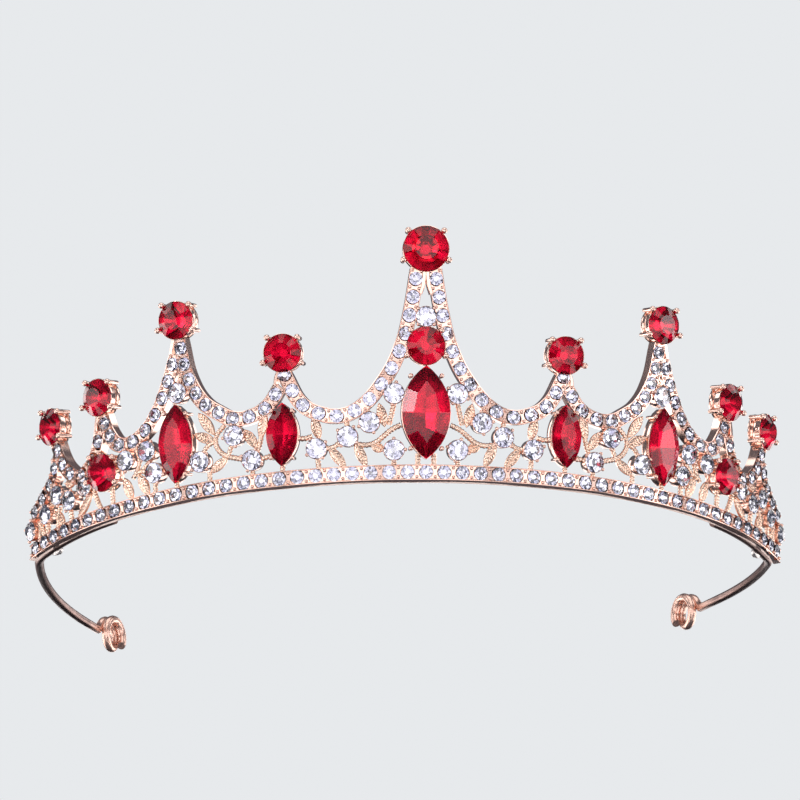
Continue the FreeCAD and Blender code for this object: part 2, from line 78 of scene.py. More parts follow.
def seat(run, height, out=0.0, spin=0.0):
    # place on the panel: x along the band, y up the lean, z outwards, turned by spin about z
    spot, turn = plan(run)
    along = Vector((cos(turn), sin(turn), 0))
    outwards = Vector((sin(turn), -cos(turn), 0))
    base = spot + outwards * out + Vector((0, 0, height - slope * spot.y))
    upright = Matrix((along, (0, 0, 1), outwards)).transposed().to_4x4()
    return leaned @ Matrix.Translation(base) @ upright @ Matrix.Rotation(spin, 4, "Z")


def placed(run, height, out=0.0, spin=0.0):
    return Matrix.Scale(mm, 4) @ seat(run, height, out, spin)


# Bench tools


def alone(piece):
    bpy.ops.object.select_all(action="DESELECT")
    piece.select_set(True)
    bpy.context.view_layer.objects.active = piece


def started(add, **settings):
    bpy.ops.object.select_all(action="DESELECT")
    add(**settings)
    return bpy.context.object


def settled(piece):
    alone(piece)
    bpy.ops.object.transform_apply(location=True, rotation=True, scale=True)
    return piece


def tidied(piece, angle=35, gap=0.002):
    # doubles merged, normals outwards, smooth but for the sharp edges
    alone(piece)
    bpy.ops.object.mode_set(mode="EDIT")
    bpy.ops.mesh.select_all(action="SELECT")
    bpy.ops.mesh.remove_doubles(threshold=gap)
    bpy.ops.mesh.normals_make_consistent(inside=False)
    bpy.ops.object.mode_set(mode="OBJECT")
    if angle:
        bpy.ops.object.shade_smooth_by_angle(angle=radians(angle))
    return piece


def joined(name, parts):
    bpy.ops.object.select_all(action="DESELECT")
    for part in parts:
        part.select_set(True)
    bpy.context.view_layer.objects.active = parts[0]
    if len(parts) > 1:
        bpy.ops.object.join()
    piece = bpy.context.object
    piece.name = name
    piece.data.name = name
    return piece


def copied(master, places):
    # one copy of a master for each place, each with its own mesh
    copies = []
    for place in places:
        copy = master.copy()
        copy.data = master.data.copy()
        copy.data.transform(place)
        bpy.context.collection.objects.link(copy)
        copies.append(copy)
    return copies


def mirrored(piece, name):
    copy = copied(piece, [Matrix.Scale(-1, 4, (1, 0, 0))])[0]
    copy.data.flip_normals()
    copy.name = name
    copy.data.name = name
    return copy


def putAway(*masters):
    for master in masters:
        bpy.data.objects.remove(master)


def painted(piece, *finishes):
    piece.data.materials.clear()
    for finish in finishes:
        piece.data.materials.append(finish)
    return piece


def line(points, closed=False, kind="POLY"):
    # a curve through points, flat if they have two numbers
    data = bpy.data.curves.new("line", "CURVE")
    data.dimensions = "2D" if len(points[0]) == 2 else "3D"
    spline = data.splines.new(kind)
    if kind == "BEZIER":
        spline.bezier_points.add(len(points) - 1)
        for knot, point in zip(spline.bezier_points, points):
            knot.co = (*point, 0.0)[:3]
            knot.handle_left_type = "AUTO"
            knot.handle_right_type = "AUTO"
    else:
        spline.points.add(len(points) - 1)
        for knot, point in zip(spline.points, points):
            knot.co = (*(*point, 0.0)[:3], 1.0)
    spline.use_cyclic_u = closed
    spline.resolution_u = 10
    item = bpy.data.objects.new("line", data)
    bpy.context.collection.objects.link(item)
    return item


def meshed(curve):
    alone(curve)
    bpy.ops.object.convert(target="MESH")
    return bpy.context.object


def walked(points, pitch):
    # the smooth path through points, as evenly spaced places with their headings
    curve = meshed(line(points, kind="BEZIER"))
    spots = [corner.co.copy() for corner in curve.data.vertices]
    putAway(curve)
    reach = [0.0]
    for before, after in zip(spots, spots[1:]):
        reach.append(reach[-1] + (after - before).length)
    count = max(2, round(reach[-1] / pitch))
    steps = []
    for k in range(count + 1):
        here = reach[-1] * k / count
        j = min(max(i for i, far in enumerate(reach) if far <= here + 1e-9), len(spots) - 2)
        share = (here - reach[j]) / (reach[j + 1] - reach[j])
        ahead = spots[j + 1] - spots[j]
        steps.append((*(spots[j] + ahead * share).xy, atan2(ahead.y, ahead.x)))
    return steps


def swept(points, profile, kind="BEZIER"):
    # a bar of one closed section, carried flat along points
    section = line(profile, closed=True)
    path = line(points, kind=kind)
    path.data.bevel_mode = "OBJECT"
    path.data.bevel_object = section
    path.data.use_fill_caps = True
    bar = meshed(path)
    putAway(section)
    return tidied(bar)


def bent(piece):
    # from the flat bench to the leaning curve of the panel
    for corner in piece.data.vertices:
        corner.co = seat(*corner.co).translation * mm
    return piece


def handed(piece, body, slot, *nodes):
    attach(piece, body)
    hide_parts(*nodes)


# Materials


class Signal:
    def __init__(self, finish, socket):
        self.finish = finish
        self.socket = socket

    def mathWith(self, operation, first, second):
        return self.finish.node("ShaderNodeMath", {"operation": operation}, {0: first, 1: second})

    def __add__(self, other):
        return self.mathWith("ADD", self, other)

    def __radd__(self, other):
        return self.mathWith("ADD", other, self)

    def __sub__(self, other):
        return self.mathWith("SUBTRACT", self, other)

    def __rsub__(self, other):
        return self.mathWith("SUBTRACT", other, self)

    def __mul__(self, other):
        return self.mathWith("MULTIPLY", self, other)

    def __rmul__(self, other):
        return self.mathWith("MULTIPLY", other, self)


class Finish:
    def __init__(self, name, world=None):
        # a new material, or the nodes of a world that is handed in
        self.owner = world or bpy.data.materials.new(name)
        self.owner.use_nodes = True
        self.tree = self.owner.node_tree
        self.tree.nodes.clear()
        self.place = None if world else self.node("ShaderNodeTexCoord", output="Object")

    def node(self, kind, settings=None, values=None, output=0):
        # every node is made here: its settings, then values or links for its sockets
        item = self.tree.nodes.new(kind)
        for key, value in (settings or {}).items():
            setattr(item, key, value)
        for key, value in (values or {}).items():
            if isinstance(value, Signal):
                self.tree.links.new(value.socket, item.inputs[key])
            else:
                item.inputs[key].default_value = value
        return Signal(self, item.outputs[output]) if len(item.outputs) else None

    def noise(self, size, detail=3.0):
        # cloudy pattern with features of about a size in millimetres
        return self.node("ShaderNodeTexNoise", None,
                         {"Vector": self.place, "Scale": 1 / (size * mm), "Detail": detail})

    def mixed(self, share, first, second):
        # two colours blended by a share from 0 to 1
        ends = [(*colour, 1.0) if isinstance(colour, tuple) else colour for colour in (first, second)]
        return self.node("ShaderNodeMix", {"data_type": "RGBA"},
                         {0: share, 6: ends[0], 7: ends[1]}, output=2)

    def own(self, name):
        # a number kept in the mesh itself
        return self.node("ShaderNodeAttribute", {"attribute_name": name}, output="Fac")

    def bumped(self, height, strength, depth, sunk=False):
        # a height pattern as relief, its depth in millimetres
        return self.node("ShaderNodeBump", {"invert": sunk},
                         {"Height": height, "Strength": strength, "Distance": depth * mm})

    def metal(self, colour, rough, relief):
        return self.done(self.node("ShaderNodeBsdfPrincipled", None, {
            "Base Color": colour,
            "Metallic": 1.0,
            "Roughness": rough,
            "Normal": relief,
        }))

    def done(self, shader, output="ShaderNodeOutputMaterial"):
        self.node(output, None, {"Surface": shader})
        return self.owner


metalLook = {
    "rose": ((0.96, 0.71, 0.62), (0.86, 0.53, 0.42)),
    "roseRough": 0.16,
    "grained": ((0.98, 0.78, 0.66), (0.93, 0.62, 0.46)),
    "grainedRough": 0.16,
    "grainSize": 0.32,
    # wire: painted shade, the metal made dark where it would mirror dark surroundings; the next colour pair
    # is a painted highlight of the same metal round the eye
    "wire": ((0.34, 0.22, 0.19), (0.16, 0.10, 0.09)),
    "wireEyeHighlight": ((0.88, 0.60, 0.50), (0.70, 0.42, 0.33)),
    "wireRough": 0.32,
    "solder": ((0.95, 0.92, 0.90), (0.78, 0.70, 0.66)),
    "solderRough": 0.33,
}
gemLook = {
    "red": (0.97, 0.009, 0.070),
    "redDeep": (0.93, 0.006, 0.035),
    "redIndex": 1.42,
    # foil colours, lit and shaded: a painted reflection, mixed facet by facet
    "redFoil": ((0.95, 0.74, 0.88), (0.16, 0.016, 0.03)),
    "redFoilRough": 0.27,
    "clear": (0.99, 0.99, 1.0),
    "clearDeep": (0.95, 0.95, 1.0),
    "clearIndex": 1.55,
    # foil colours, lit and shaded: a painted reflection, mixed facet by facet
    "clearFoil": ((0.98, 0.98, 1.0), (0.56, 0.56, 0.66)),
    "clearFoilRough": 0.10,
}


def roseGold():
    look = Finish("rose_gold_plate")
    patches = look.noise(2.5)
    relief = look.bumped(look.noise(0.25, 2.0), 0.12, 0.03)
    rough = patches * 0.10 + (metalLook["roseRough"] - 0.05)
    return look.metal(look.mixed(patches, *metalLook["rose"]), rough, relief)


def grainedGold():
    # the leaves and stems: the same plate over a granulated casting
    look = Finish("rose_gold_granulated")
    patches = look.noise(1.2)
    scale = 1 / (metalLook["grainSize"] * mm)
    grain = look.node("ShaderNodeTexVoronoi", None, {"Vector": look.place, "Scale": scale})
    relief = look.bumped(grain, 0.5, 0.08, sunk=True)
    rough = patches * 0.12 + metalLook["grainedRough"]
    return look.metal(look.mixed(patches, *metalLook["grained"]), rough, relief)


def springWire():
    # painted shade and highlight on one metal: dark along its length, as if it mirrored dark surroundings,
    # and rose gold round the eye as a painted highlight
    look = Finish("spring_wire_painted_shade_and_highlight")
    streaks = look.noise(1.8)
    colour = look.mixed(look.own("eye"), look.mixed(streaks, *metalLook["wire"]),
                        look.mixed(streaks, *metalLook["wireEyeHighlight"]))
    rough = streaks * 0.12 + (metalLook["wireRough"] - 0.06)
    return look.metal(colour, rough, look.bumped(streaks, 0.1, 0.05))


def brightSolder():
    look = Finish("bright_solder")
    pools = look.noise(0.9)
    rough = pools * 0.15 + metalLook["solderRough"]
    return look.metal(look.mixed(pools, *metalLook["solder"]), rough, look.bumped(pools, 0.4, 0.15))


def crystal(name, clean, deep, index):
    # cut glass over the foil: slightly deeper in places
    look = Finish(name)
    return look.done(look.node("ShaderNodeBsdfPrincipled", None, {
        "Base Color": look.mixed(look.noise(3.0), clean, deep),
        "Roughness": 0.0,
        "IOR": index,
        "Transmission Weight": 1.0,
    }))


def foil(name, bright, dull, rough):
    # the silvered back: each facet is painted its own brightness, a painted reflection standing in for the
    # light it would catch, and the foil ripples
    look = Finish(name)
    ripples = look.noise(0.8)
    return look.done(look.node("ShaderNodeBsdfPrincipled", None, {
        "Base Color": look.mixed(look.own("facet") * 0.8 + ripples * 0.2, bright, dull),
        "Metallic": 1.0,
        "Roughness": ripples * 0.08 + (rough - 0.04),
    }))


gold = roseGold()
grainyGold = grainedGold()
wireFinish = springWire()
solderFinish = brightSolder()
redGlass = crystal("red_crystal_glass", gemLook["red"], gemLook["redDeep"], gemLook["redIndex"])
redFoil = foil("red_crystal_foil", *gemLook["redFoil"], gemLook["redFoilRough"])
clearGlass = crystal("clear_crystal_glass", gemLook["clear"], gemLook["clearDeep"], gemLook["clearIndex"])
clearFoil = foil("clear_crystal_foil", *gemLook["clearFoil"], gemLook["clearFoilRough"])
print("finishes mixed")


# Stones
# Each stone is ground from a blank by flat cuts: tiers are (how many, first direction, tilt, rise).

ruby = {
    "sides": 32,
    "crown": [(16, 0, 33, 0.03)],
    "pavilion": [(16, 0, 41, -0.02)],
    "table": 0.35,
    "culet": -0.70,
    "turn": 112.5,  # from one stone to the next
}
brilliant = {
    "sides": 32,
    "crown": [(8, 0, 34, 0.03), (16, 11.25, 37.5, 0.03), (8, 22.5, 23, 0.115)],
    "pavilion": [(8, 0, 41, -0.02), (16, 11.25, 43.5, -0.02)],
    "table": 0.33,
    "culet": -0.66,
}
chaton = {
    "sides": 16,
    "crown": [(8, 0, 36, 0.03), (8, 22.5, 31, 0.03)],
    "pavilion": [(8, 11.25, 41, -0.02)],
    "table": 0.33,
    "culet": -0.64,
}
navette = {
    "arcPoints": 14,
    "crownTilt": 31,
    "pavilionTilt": 29,
    "girdle": 0.012,
    "table": 0.165,
    "sides": (-36, -12.5, 12.5, 36),
    # how strong the painted facet shade of the foil is on the pointed ovals
    "contrast": 0.3,
}
# painted reflection: how dark the foil is painted, from one step round the stone to another, in place of the
# light each facet would catch
facetPaintedShades = (0.1, 0.8, 0.0, 0.35, 1.0, 0.15, 0.6, 0.0, 0.3, 1.0, 0.05, 0.7)
facetStep = 11.25


def ground(direction, tilt, through):
    # one flat facet: all that lies beyond the plane is ground away
    across = sin(radians(tilt))
    normal = (across * cos(radians(direction)), across * sin(radians(direction)), cos(radians(tilt)))
    bpy.ops.mesh.select_all(action="SELECT")
    bpy.ops.mesh.bisect(plane_co=through, plane_no=normal, use_fill=True, clear_outer=True)


def foiled(gem, glass, foilFinish, diameter, contrast=1.0):
    # the back of the stone is silvered, the rest stays clear
    bpy.ops.object.mode_set(mode="OBJECT")
    tidied(gem, angle=None, gap=0.002 * diameter)
    painted(gem, glass, foilFinish)
    # each facet gets a painted shade of the foil, a painted reflection rather than a colour of its own
    paintedShades = gem.data.attributes.new("facet", "FLOAT", "FACE").data
    for face in gem.data.polygons:
        face.material_index = 1 if face.normal.z < -0.1 else 0
        face.use_smooth = False
        around = round(degrees(atan2(face.normal.y, face.normal.x)) / facetStep)
        paintedShades[face.index].value = contrast * facetPaintedShades[(around * 5) % len(facetPaintedShades)]
    return gem


def roundGem(cuts, diameter, glass, foilFinish):
    radius = diameter / 2
    gem = started(bpy.ops.mesh.primitive_cylinder_add, vertices=cuts["sides"], radius=radius, depth=diameter)
    bpy.ops.object.mode_set(mode="EDIT")
    for tiers, side in ((cuts["crown"], 1), (cuts["pavilion"], -1)):
        for count, first, tilt, rise in tiers:
            for k in range(count):
                way = first + 360 * k / count
                edge = (radius * cos(radians(way)), radius * sin(radians(way)), rise * radius)
                ground(way, tilt if side > 0 else 180 - tilt, edge)
    ground(0, 0, (0, 0, cuts["table"] * radius))
    ground(0, 180, (0, 0, cuts["culet"] * radius))
    return foiled(gem, glass, foilFinish, diameter)


def ovalPoints(width, length, count):
    # a pointed oval of two equal arcs
    radius = (width**2 + length**2) / (4 * width)
    reach = asin(length / 2 / radius)
    right = []
    for k in range(count + 1):
        angle = -reach + 2 * reach * k / count
        right.append((radius * cos(angle) - radius + width / 2, radius * sin(angle)))
    return right + [(-x, -y) for x, y in right[1:-1]]


def ovalPrism(width, length, rear, front, count):
    piece = meshed(line(ovalPoints(width, length, count), closed=True))
    bpy.ops.object.mode_set(mode="EDIT")
    bpy.ops.mesh.select_all(action="SELECT")
    bpy.ops.transform.translate(value=(0, 0, rear))
    bpy.ops.mesh.edge_face_add()
    bpy.ops.mesh.extrude_region_move(TRANSFORM_OT_translate={"value": (0, 0, front - rear)})
    bpy.ops.object.mode_set(mode="OBJECT")
    return tidied(piece, angle=None)


def ovalGem(width, length, glass, foilFinish):
    gem = ovalPrism(width, length, -width / 2, width / 2, navette["arcPoints"])
    radius = (width**2 + length**2) / (4 * width)
    alone(gem)
    bpy.ops.object.mode_set(mode="EDIT")
    for side in (0, 180):
        for angle in navette["sides"]:
            way = side + angle
            shift = (radius - width / 2) * (1 if side else -1)
            spot = (shift + radius * cos(radians(way)), radius * sin(radians(way)))
            ground(way, navette["crownTilt"], (*spot, navette["girdle"] * width))
            ground(way, 180 - navette["pavilionTilt"], (*spot, -navette["girdle"] * width))
    ground(0, 0, (0, 0, navette["table"] * width))
    return foiled(gem, glass, foilFinish, width, navette["contrast"])


# Where everything sits on the panel: (run, height), left side only

railPaths = {
    "centre_rail": [[(1.65, 39.5), (3.1, 31.0), (4.9, 24.4), (8.1, 18.4), (12.7, 13.6), (16.0, 12.4),
                     (19.5, 12.9), (23.0, 14.8), (26.7, 20.9)]],
    "inner_rail": [[(27.5, 18.8), (30.1, 15.3), (33.3, 13.8), (36.7, 13.9), (39.7, 15.5), (42.6, 17.8),
                    (45.6, 22.7), (47.8, 30.6)]],
    "outer_rail": [[(48.6, 27.9), (50.2, 23.0), (53.1, 17.2), (55.6, 14.7), (58.5, 13.5), (61.2, 13.8),
                    (63.3, 16.0), (65.4, 20.4)]],
    "side_rail": [[(66.1, 17.6), (67.4, 13.4), (69.7, 11.2), (72.0, 10.6), (74.3, 12.1), (76.6, 14.6),
                   (79.2, 19.4)],
                  [(79.0, 16.2), (80.0, 13.0), (82.7, 10.9), (85.2, 9.4), (88.4, 8.2)]],
}
gussets = {
    # where two rails meet under a peak: from the corner up to the cup, or down inside the centre peak
    "centre_rail": [(0.32, 39.6), (0.36, 38.0), (0.55, 36.6), (1.05, 35.0)],
    "inner_rail": [(28.35, 19.3), (28.3, 20.3), (27.9, 21.6)],
    "outer_rail": [(49.62, 27.9), (49.4, 29.2), (49.0, 31.0)],
    "side_rail": [(67.15, 17.7), (67.1, 19.0), (66.8, 20.7)],
}
gussetWidth = 0.75
stems = {
    "inner_vine": [
        [(1.5, 4.9), (1.5, 2.5)],
        [(6.0, 14.4), (6.4, 12.5), (6.9, 10.3)],
        [(6.0, 3.8), (6.0, 2.5)],
        [(12.9, 6.9), (11.0, 6.7), (9.3, 7.2), (8.0, 8.2), (6.5, 9.4), (4.7, 10.3)],
        [(10.7, 12.6), (11.4, 13.6)],
        [(14.7, 10.2), (15.0, 11.6)],
        [(16.2, 7.4), (17.3, 6.6), (18.7, 6.4)],
        [(21.4, 8.9), (22.8, 8.6), (24.3, 8.8)],
        [(20.3, 4.6), (20.1, 2.5)],
        [(27.0, 4.0), (27.0, 2.5)],
    ],
    "middle_vine": [
        [(31.1, 10.4), (31.4, 8.6), (31.9, 7.0)],
        [(29.0, 6.0), (31.0, 5.6)],
        [(32.8, 3.7), (32.8, 2.5)],
        [(38.4, 12.9), (39.9, 11.3), (40.2, 10.0), (39.5, 8.3), (37.9, 7.0), (36.2, 6.4), (34.4, 5.9)],
        [(36.9, 9.0), (37.7, 6.9)],
        [(41.4, 4.5), (41.3, 2.5)],
        [(40.1, 10.2), (41.8, 9.5), (42.7, 8.3)],
        [(36.4, 12.3), (36.5, 12.9)],
        [(47.3, 25.2), (47.8, 21.8)],
        [(48.2, 3.7), (48.2, 2.5)],
    ],
    "outer_vine": [
        [(52.9, 4.6), (52.9, 2.5)],
        [(57.4, 12.3), (56.6, 9.8), (57.4, 7.3), (58.0, 6.6)],
        [(57.5, 7.3), (56.0, 7.5), (54.6, 6.9)],
        [(53.9, 9.4), (54.9, 8.4), (56.2, 7.5)],
        [(63.0, 6.0), (62.7, 2.5)],
        [(67.7, 6.6), (66.8, 4.6), (65.7, 2.5)],
        [(72.0, 9.5), (71.7, 8.0), (73.0, 7.2)],
        [(74.4, 5.0), (73.9, 2.5)],
        [(77.9, 6.6), (78.5, 2.5)],
        [(80.6, 12.0), (80.4, 9.4), (80.7, 7.6)],
        [(82.0, 4.6), (82.0, 2.5)],
        [(84.3, 9.4), (84.6, 6.0), (85.4, 2.5)],
    ],
}
leaves = {
    "inner_vine": [
        [(7.7, 10.0), (8.8, 14.4)],
        [(10.3, 6.7), (7.8, 5.6)],
        [(13.3, 7.2), (11.1, 2.6)],
        [(18.2, 6.6), (15.0, 2.6)],
        [(21.2, 12.6), (20.0, 8.2)],
    ],
    "middle_vine": [
        [(30.4, 14.3), (31.3, 9.4)],
        [(31.9, 7.7), (34.5, 11.5)],
        [(40.4, 11.4), (43.7, 16.0)],
        [(40.3, 10.0), (44.5, 12.2)],
        [(37.7, 6.8), (41.2, 4.3)],
    ],
    "outer_vine": [
        [(56.7, 7.1), (54.3, 2.6)],
        [(60.0, 7.1), (58.1, 2.6)],
        [(68.4, 6.4), (71.8, 2.6)],
        [(76.0, 10.6), (73.2, 9.8)],
        [(79.3, 6.2), (76.3, 2.6)],
        [(85.6, 6.4), (83.4, 2.6)],
    ],
}
roundJewels = [
    ("top", 8.5, 0.0, 43.4),
    ("centre", 7.1, 0.0, 25.1),
    ("inner_left", 7.1, 27.0, 25.0),
    ("tall_left", 7.1, 48.3, 34.5),
    ("outer_left", 7.1, 66.3, 24.2),
    ("low_left", 7.1, 65.0, 9.4),
    ("end_left", 7.1, 80.3, 23.0),
]
ovalJewels = [
    ("centre_marquise", 9.1, 17.6, 0.0, 12.6, [(2.9, 6.8), (2.9, -6.8)]),
    ("inner_marquise_left", 6.0, 12.0, 27.0, 9.7, [(2.0, 4.4), (2.0, -4.4)]),
    ("tall_marquise_left", 7.0, 15.0, 48.2, 11.0, [(2.3, 5.7), (2.3, -5.7)]),
]
accentTop = (0.0, 30.6)
accentSpots = [
    (6.0, 16.2), (10.6, 10.9), (14.7, 8.4), (6.0, 5.6), (20.5, 6.5),
    (32.8, 5.5), (36.4, 10.6), (43.2, 6.7), (48.0, 20.6), (52.9, 6.5), (54.6, 11.0),
    (59.4, 10.3), (69.9, 8.1), (74.2, 6.7), (78.1, 8.9), (82.0, 6.5), (88.0, 5.3),
]

# Rails and band: channels that hold the small stones, with grains between them

channel = {
    "railWidth": 2.8,
    "railDepth": 2.0,
    "railPitch": 3.3,
    "bandHeight": 2.85,
    "bandPitch": 3.45,
    "lip": 0.26,
    "floor": -1.3,
    "lugRuns": (-46, 0, 46),
    "lugSize": (2.2, 0.9, 0.8),
    "lugFoot": 0.2,
    "lugSink": 0.1,
    "chaton": 2.55,
    "stoneLift": 0.08,
    "grain": 0.34,
    "grainSpread": 0.86,
    "grainOut": 0.02,
    "seatPlay": 0.11,
    "webTop": -0.13,
    "endInset": 0.28,
    "bandSteps": 120,
    "bandBelow": 0.9,
}


def channelSection(low, high, depth):
    # a U with rounded lips, open to the front, from low to high across
    lip = channel["lip"]
    edge = 0.09
    floor = channel["floor"]
    return [
        (low, -depth + edge), (low + edge, -depth), (high - edge, -depth), (high, -depth + edge),
        (high, -edge), (high - edge, 0), (high - lip + edge, 0), (high - lip, -edge),
        (high - lip, floor), (low + lip, floor),
        (low + lip, -edge), (low + lip - edge, 0), (low + edge, 0), (low, -edge),
    ]


def blockSection(width, depth):
    half = width / 2
    edge = 0.12
    return [
        (-half, -depth), (half, -depth), (half, -edge),
        (half - edge, 0), (edge - half, 0), (-half, -edge),
    ]


def grainWeb(width, pitch):
    # the metal left between two round seats, with a grain raised at each side
    reach = width / 2 - channel["lip"] + 0.05
    seatRadius = channel["chaton"] / 2 + channel["seatPlay"]
    side = []
    for k in range(7):
        across = reach * (k / 3 - 1)
        side.append((pitch / 2 - sqrt(max(seatRadius**2 - across**2, 0.01)), across))
    web = meshed(line(side + [(-x, -y) for x, y in side], closed=True))
    bpy.ops.object.mode_set(mode="EDIT")
    bpy.ops.mesh.select_all(action="SELECT")
    bpy.ops.transform.translate(value=(0, 0, channel["floor"]))
    bpy.ops.mesh.edge_face_add()
    bpy.ops.mesh.extrude_region_move(
        TRANSFORM_OT_translate={"value": (0, 0, channel["webTop"] - channel["floor"])})
    bpy.ops.object.mode_set(mode="OBJECT")
    parts = [tidied(web, angle=30)]
    for hand in (-1, 1):
        grain = started(bpy.ops.mesh.primitive_uv_sphere_add, segments=8, ring_count=5,
                        radius=channel["grain"],
                        location=(0, hand * channel["grainSpread"], channel["grainOut"]))
        parts.append(settled(grain))
    web = joined("grain_web", parts)
    bpy.ops.object.shade_smooth_by_angle(angle=radians(50))
    return painted(web, gold)


def sparkleSpin(index):
    # each small stone is set with its facets turned a little differently
    return radians(index * 137.5)


def tipped(place, index, amount=2.5):
    # no two stones sit quite level in their seats
    lean = Matrix.Rotation(radians(amount * sin(index * 2.4)), 4, "X")
    return place @ lean @ Matrix.Rotation(radians(amount * cos(index * 3.7)), 4, "Y")


def makeRails():
    half = channel["railWidth"] / 2
    web = grainWeb(channel["railWidth"], channel["railPitch"])
    gem = roundGem(chaton, channel["chaton"], clearGlass, clearFoil)
    stonePlaces = []
    for name, paths in railPaths.items():
        parts = []
        for path in paths:
            section = channelSection(-half, half, channel["railDepth"])
            parts.append(painted(bent(swept(path, section)), gold))
            steps = walked(path, channel["railPitch"] / 2)
            if len(steps) % 2 == 0:
                steps = walked(path, channel["railPitch"] / 2 * len(steps) / (len(steps) - 1) * 1.02)
            for k, (run, height, heading) in enumerate(steps):
                if k % 2:
                    here = placed(run, height, channel["stoneLift"], sparkleSpin(len(stonePlaces)))
                    stonePlaces.append(tipped(here, len(stonePlaces)))
                else:
                    inset = channel["endInset"] * (1 if k == 0 else -1 if k == len(steps) - 1 else 0)
                    place = placed(run + inset * cos(heading), height + inset * sin(heading), 0, heading)
                    parts += copied(web, [place])
        if name in gussets:
            bar = swept(gussets[name], blockSection(gussetWidth, channel["railDepth"]))
            parts.append(painted(bent(bar), gold))
        rail = joined(name + "_left_channel", parts)
        handed(mirrored(rail, name + "_right_channel"), "tiara", "rose_gold", name + "_right")
        handed(rail, "tiara", "rose_gold", name + "_left")
    stones = joined("rail_chatons_left", copied(gem, stonePlaces))
    handed(mirrored(stones, "rail_chatons_right"), "tiara", "clear_crystal", "rail_stones_right")
    handed(stones, "tiara", "clear_crystal", "rail_stones_left")
    putAway(web, gem)
    print("rails set with", 2 * len(stonePlaces), "stones")


def makeBand():
    end = panel["end"]
    pitch = channel["bandPitch"]
    count = int((end - channel["chaton"] / 2) / pitch)
    middle = channel["bandHeight"] / 2
    below = channel["bandBelow"]  # drawn lower than the band, then cut off level to sit flat
    section = channelSection(-middle, middle, panel["depth"])
    section = [(-across + below if across == -middle else -across, out) for across, out in section]
    steps = channel["bandSteps"]
    path = [(-end + 2 * end * k / steps, middle) for k in range(steps + 1)]
    strip = painted(bent(swept(path, section, kind="POLY")), gold)
    alone(strip)
    bpy.ops.object.mode_set(mode="EDIT")
    bpy.ops.mesh.select_all(action="SELECT")
    bpy.ops.mesh.bisect(plane_co=(0, 0, 0), plane_no=(0, 0, -1), use_fill=True, clear_outer=True,
                        threshold=1e-7)
    bpy.ops.object.mode_set(mode="OBJECT")
    web = grainWeb(channel["bandHeight"], pitch)
    runs = [(k + 0.5) * pitch for k in range(-count - 1, count + 1)]
    parts = [strip] + copied(web, [placed(run, middle) for run in runs])
    tall, deep = channel["lugSize"][1:]
    lugHeight = channel["lugFoot"] + tall / 2
    lugOut = channel["lugSink"] - panel["depth"] - deep / 2
    for run in channel["lugRuns"]:
        lug = started(bpy.ops.mesh.primitive_cube_add, size=1)
        lug.scale = channel["lugSize"]
        settled(lug)
        bpy.ops.object.mode_set(mode="EDIT")
        bpy.ops.mesh.bevel(offset=0.12, segments=2, affect="EDGES")
        bpy.ops.object.mode_set(mode="OBJECT")
        lug.data.transform(placed(run, lugHeight, lugOut))
        parts.append(painted(lug, gold))
    band = joined("band_channel", parts)
    handed(band, "tiara", "rose_gold", "base_band")
    gem = roundGem(chaton, channel["chaton"], clearGlass, clearFoil)
    places = []
    for k in range(-count, count + 1):
        here = placed(k * pitch, middle, channel["stoneLift"], sparkleSpin(k))
        places.append(tipped(here, k))
    handed(joined("band_chatons", copied(gem, places)), "tiara", "clear_crystal", "band_stones")
    putAway(web, gem)
    print("band set with", len(places), "stones")


# Scrollwork: milled stems and veined leaves

scroll = {
    "stemRadius": 0.56,
    "stemOut": -0.55,
    "millPitch": 0.62,
    "millDepth": 0.26,
    "leafWidth": 1.9,
    "leafLength": 4.5,
    "leafOut": -0.3,
    "leafThick": 0.42,
    "leafRim": 0.2,
    "leafSwell": 0.12,
    "spine": (0.13, 4.1),
    "ribs": 6,
    "ribRadius": 0.14,
    "ribReach": 1.5,
    "ribSlant": 52,
}


def milledStem(points):
    # a wire with rings milled round it, flat on the bench
    steps = walked(points, scroll["millPitch"] / 4)
    curve = line([(run, height, scroll["stemOut"]) for run, height, heading in steps])
    for k, knot in enumerate(curve.data.splines[0].points):
        knot.radius = 1 - scroll["millDepth"] * (0, 0.35, 1, 0.35)[k % 4]
    curve.data.bevel_depth = scroll["stemRadius"]
    curve.data.bevel_resolution = 1
    curve.data.use_fill_caps = True
    return tidied(meshed(curve), angle=80)


def leafMaster():
    # one leaf along y, a pointed pad with a spine and slanting ribs
    width = scroll["leafWidth"]
    thick = scroll["leafThick"]
    pad = ovalPrism(width, scroll["leafLength"], -thick, 0, 8)
    alone(pad)
    bpy.ops.object.mode_set(mode="EDIT")
    bpy.ops.mesh.select_all(action="DESELECT")
    bpy.ops.object.mode_set(mode="OBJECT")
    for face in pad.data.polygons:
        face.select = face.normal.z > 0.9
    bpy.ops.object.mode_set(mode="EDIT")
    bpy.ops.mesh.inset(thickness=scroll["leafRim"], depth=scroll["leafSwell"])
    bpy.ops.object.mode_set(mode="OBJECT")
    parts = [pad]
    spineRadius, spineLength = scroll["spine"]
    spine = started(bpy.ops.mesh.primitive_cylinder_add, vertices=6, radius=spineRadius, depth=spineLength,
                    location=(0, 0, 0.16), rotation=(pi / 2, 0, 0))
    parts.append(settled(spine))
    for k in range(scroll["ribs"]):
        reach = scroll["ribReach"] * (2 * k / (scroll["ribs"] - 1) - 1)
        span = width / 2 * cos(reach / (scroll["leafLength"] / 2) * pi / 2) * 0.95
        for side in (-1, 1):
            rib = started(bpy.ops.mesh.primitive_cylinder_add, vertices=5, radius=scroll["ribRadius"],
                          depth=span, location=(side * span * 0.42, reach + span * 0.25, 0.1),
                          rotation=(pi / 2, 0, -side * radians(scroll["ribSlant"])))
            parts.append(settled(rib))
    leaf = joined("leaf", parts)
    bpy.ops.object.shade_smooth_by_angle(angle=radians(60))
    return leaf


